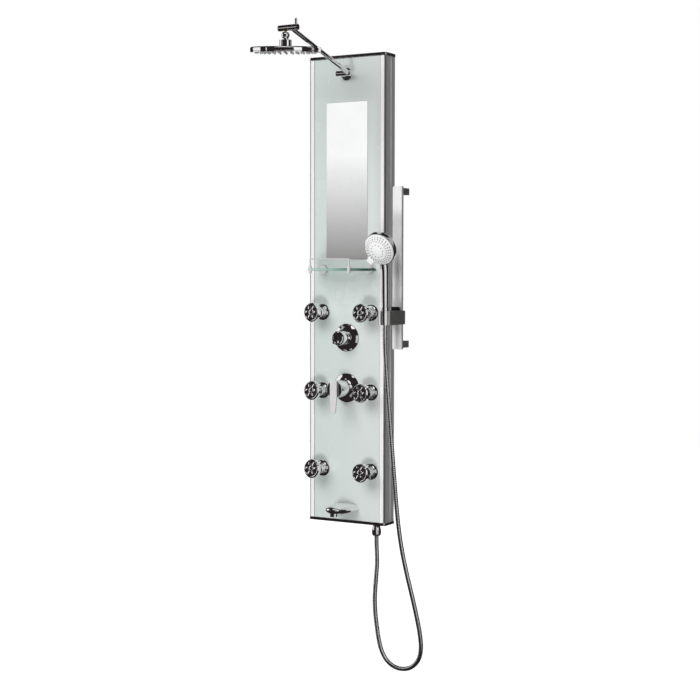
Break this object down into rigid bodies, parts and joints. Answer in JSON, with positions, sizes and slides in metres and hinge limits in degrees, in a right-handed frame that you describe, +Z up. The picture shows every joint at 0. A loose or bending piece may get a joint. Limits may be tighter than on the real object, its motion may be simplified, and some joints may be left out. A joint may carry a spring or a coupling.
{
  "type": "shower panel column",
  "caption": "Tall wall-hung shower panel with a mirror, a glass shelf, body jets, a lever mixer, a diverter, a bath spout, an overhead rain shower on an arm and a hand shower on a slide bar.",
  "frame": {"origin": "on the wall plane, at the centre of the four wall screws, half way up the panel", "axes": "+Z up, +X to the right as seen from the room, +Y into the wall"},
  "size_m": [0.425, 0.5263, 2.0191],
  "materials": {
    "aluminium": "satin anodised",
    "cap_plastic": "polished",
    "panel_glass": "toughened glass, back-painted pale grey-green, opaque",
    "mirror": "polished mirror",
    "steel_sheet": "zinc-plated sheet",
    "brass": "machined",
    "valve_plastic": "moulded",
    "pipe_plastic": "extruded",
    "chrome": "polished",
    "chromed_plastic": "chrome plated",
    "shelf_glass": "clear float glass with green edges",
    "hose_metal": "wound metal strip, polished",
    "nozzle_rubber": "moulded",
    "slider_plastic": "chrome plated",
    "black_plastic": "moulded",
    "spray_face": "moulded"
  },
  "bodies": {
    "panel": {"side_rail_left": "aluminium", "side_rail_right": "aluminium", "top_cap": "cap_plastic", "bottom_cap": "cap_plastic", "front_glass": "panel_glass", "mirror": "mirror", "back_plate": "steel_sheet", "wall_hooks": "steel_sheet", "mixer_valve": "brass", "mixer_cartridge": "valve_plastic", "mixer_plate": "chrome", "diverter_valve": "brass", "diverter_plate": "chrome", "riser_pipe": "pipe_plastic", "jet_manifold": "pipe_plastic", "lower_pipes": "pipe_plastic", "supply_tails": "brass", "arm_base": "chrome", "arm_screw": "chrome", "shelf_glass": "shelf_glass", "shelf_brackets": "chrome", "gallery_rail": "chrome", "jet_bases": "chromed_plastic", "spout": "chrome", "spout_outlet": "chrome", "hose_outlet": "brass", "hose_nut": "chrome", "slide_bar": "aluminium", "bar_standoffs": "chromed_plastic", "shower_hose": "hose_metal"},
    "arm": {"arm_tube": "chrome"},
    "arm_tip": {"tip_barrel": "chrome", "swivel_ball": "brass"},
    "clamp_knob": {"tip_knob": "chrome"},
    "swivel": {"swivel_socket": "chrome"},
    "rain_head": {"rain_shell": "chromed_plastic", "rain_face": "chromed_plastic", "rain_nozzles": "nozzle_rubber"},
    "jet_ring_1": {"jet_ring_1": "chromed_plastic"},
    "jet_head_1": {"jet_head_1": "chromed_plastic"},
    "jet_ring_2": {"jet_ring_2": "chromed_plastic"},
    "jet_head_2": {"jet_head_2": "chromed_plastic"},
    "jet_ring_3": {"jet_ring_3": "chromed_plastic"},
    "jet_head_3": {"jet_head_3": "chromed_plastic"},
    "jet_ring_4": {"jet_ring_4": "chromed_plastic"},
    "jet_head_4": {"jet_head_4": "chromed_plastic"},
    "jet_ring_5": {"jet_ring_5": "chromed_plastic"},
    "jet_head_5": {"jet_head_5": "chromed_plastic"},
    "jet_ring_6": {"jet_ring_6": "chromed_plastic"},
    "jet_head_6": {"jet_head_6": "chromed_plastic"},
    "mixer_handle": {"mixer_handle": "chrome"},
    "mixer_lever": {"mixer_lever": "chrome"},
    "diverter": {"diverter_knob": "chrome", "diverter_spindle": "brass"},
    "slider": {"slider_block": "slider_plastic"},
    "release_tab": {"release_tab": "black_plastic"},
    "cradle": {"cradle_insert": "chromed_plastic"},
    "handset": {"handset_body": "chromed_plastic", "handset_nut": "chrome"},
    "spray_face": {"handset_face": "spray_face"}
  },
  "joints": [
    {"name": "arm_lower", "type": "hinge", "parent": "panel", "child": "arm", "pos_m": [0.01855, -0.086, 0.6887], "axis": [1, 0, 0], "range_deg": [-30, 30]},
    {"name": "arm_upper", "type": "hinge", "parent": "arm", "child": "arm_tip", "pos_m": [0.01855, -0.4246, 0.7834], "axis": [1, 0, 0], "range_deg": [-45, 3]},
    {"name": "knob_turn", "type": "hinge", "parent": "arm_tip", "child": "clamp_knob", "pos_m": [0.035, -0.4246, 0.7834], "axis": [1, 0, 0], "range_deg": [-40, 40]},
    {"name": "rain_tilt", "type": "hinge", "parent": "arm_tip", "child": "swivel", "pos_m": [0, -0.4246, 0.7619], "axis": [-0.8649, -0.5019, 0], "range_deg": [-3, 21.5]},
    {"name": "rain_spin", "type": "hinge", "parent": "swivel", "child": "rain_head", "pos_m": [0, -0.4246, 0.7619], "axis": [0.0568, -0.0979, 0.9936], "continuous": true},
    {"name": "jet_spin_1", "type": "hinge", "parent": "panel", "child": "jet_ring_1", "pos_m": [-0.09, -0.086, -0.07], "axis": [0, 1, 0], "continuous": true},
    {"name": "jet_tilt_1", "type": "hinge", "parent": "jet_ring_1", "child": "jet_head_1", "pos_m": [-0.09, -0.086, -0.07], "axis": [0, 0, -1], "range_deg": [-23, 7]},
    {"name": "jet_spin_2", "type": "hinge", "parent": "panel", "child": "jet_ring_2", "pos_m": [0.09, -0.086, -0.07], "axis": [0, 1, 0], "continuous": true},
    {"name": "jet_tilt_2", "type": "hinge", "parent": "jet_ring_2", "child": "jet_head_2", "pos_m": [0.09, -0.086, -0.07], "axis": [0, 0, -1], "range_deg": [-23, 7]},
    {"name": "jet_spin_3", "type": "hinge", "parent": "panel", "child": "jet_ring_3", "pos_m": [-0.09, -0.086, -0.324], "axis": [0, 1, 0], "continuous": true},
    {"name": "jet_tilt_3", "type": "hinge", "parent": "jet_ring_3", "child": "jet_head_3", "pos_m": [-0.09, -0.086, -0.324], "axis": [-0.4472, 0, -0.8944], "range_deg": [-23.94, 6.06]},
    {"name": "jet_spin_4", "type": "hinge", "parent": "panel", "child": "jet_ring_4", "pos_m": [0.09, -0.086, -0.324], "axis": [0, 1, 0], "continuous": true},
    {"name": "jet_tilt_4", "type": "hinge", "parent": "jet_ring_4", "child": "jet_head_4", "pos_m": [0.09, -0.086, -0.324], "axis": [-0.124, 0, -0.9923], "range_deg": [-23.06, 6.94]},
    {"name": "jet_spin_5", "type": "hinge", "parent": "panel", "child": "jet_ring_5", "pos_m": [-0.09, -0.086, -0.578], "axis": [0, 1, 0], "continuous": true},
    {"name": "jet_tilt_5", "type": "hinge", "parent": "jet_ring_5", "child": "jet_head_5", "pos_m": [-0.09, -0.086, -0.578], "axis": [-0.6, 0, -0.8], "range_deg": [-25, 5]},
    {"name": "jet_spin_6", "type": "hinge", "parent": "panel", "child": "jet_ring_6", "pos_m": [0.09, -0.086, -0.578], "axis": [0, 1, 0], "continuous": true},
    {"name": "jet_tilt_6", "type": "hinge", "parent": "jet_ring_6", "child": "jet_head_6", "pos_m": [0.09, -0.086, -0.578], "axis": [-0.2983, 0, -0.9545], "range_deg": [-23.38, 6.62]},
    {"name": "mixer_turn", "type": "hinge", "parent": "panel", "child": "mixer_handle", "pos_m": [0, -0.1, -0.3125], "axis": [0, 1, 0], "range_deg": [-50, 50]},
    {"name": "mixer_lift", "type": "hinge", "parent": "mixer_handle", "child": "mixer_lever", "pos_m": [0, -0.138, -0.2875], "axis": [-1, 0, 0], "range_deg": [0, 22]},
    {"name": "diverter_turn", "type": "hinge", "parent": "panel", "child": "diverter", "pos_m": [0, -0.1, -0.151], "axis": [0, 1, 0], "range_deg": [-60, 60]},
    {"name": "slider_slide", "type": "slide", "parent": "panel", "child": "slider", "axis": [0, 0, 1], "range_m": [-0.05, 0.36], "deforming": ["shower_hose"]},
    {"name": "tab_press", "type": "slide", "parent": "slider", "child": "release_tab", "axis": [0, 0, -1], "range_m": [0, 0.003], "stiffness_N_per_m": 400},
    {"name": "cradle_tilt", "type": "hinge", "parent": "slider", "child": "cradle", "pos_m": [0.182, -0.139, -0.0833], "axis": [1, 0, 0], "range_deg": [-15, 20], "deforming": ["shower_hose"]},
    {"name": "handset_lift", "type": "slide", "parent": "cradle", "child": "handset", "axis": [0, 0, 1], "range_m": [0, 0.08], "deforming": ["shower_hose"]},
    {"name": "spray_turn", "type": "hinge", "parent": "handset", "child": "spray_face", "pos_m": [0.182, -0.1775, 0.1286], "axis": [-0.0612, -0.8982, -0.4352], "range_deg": [-60, 20]}
  ]
}
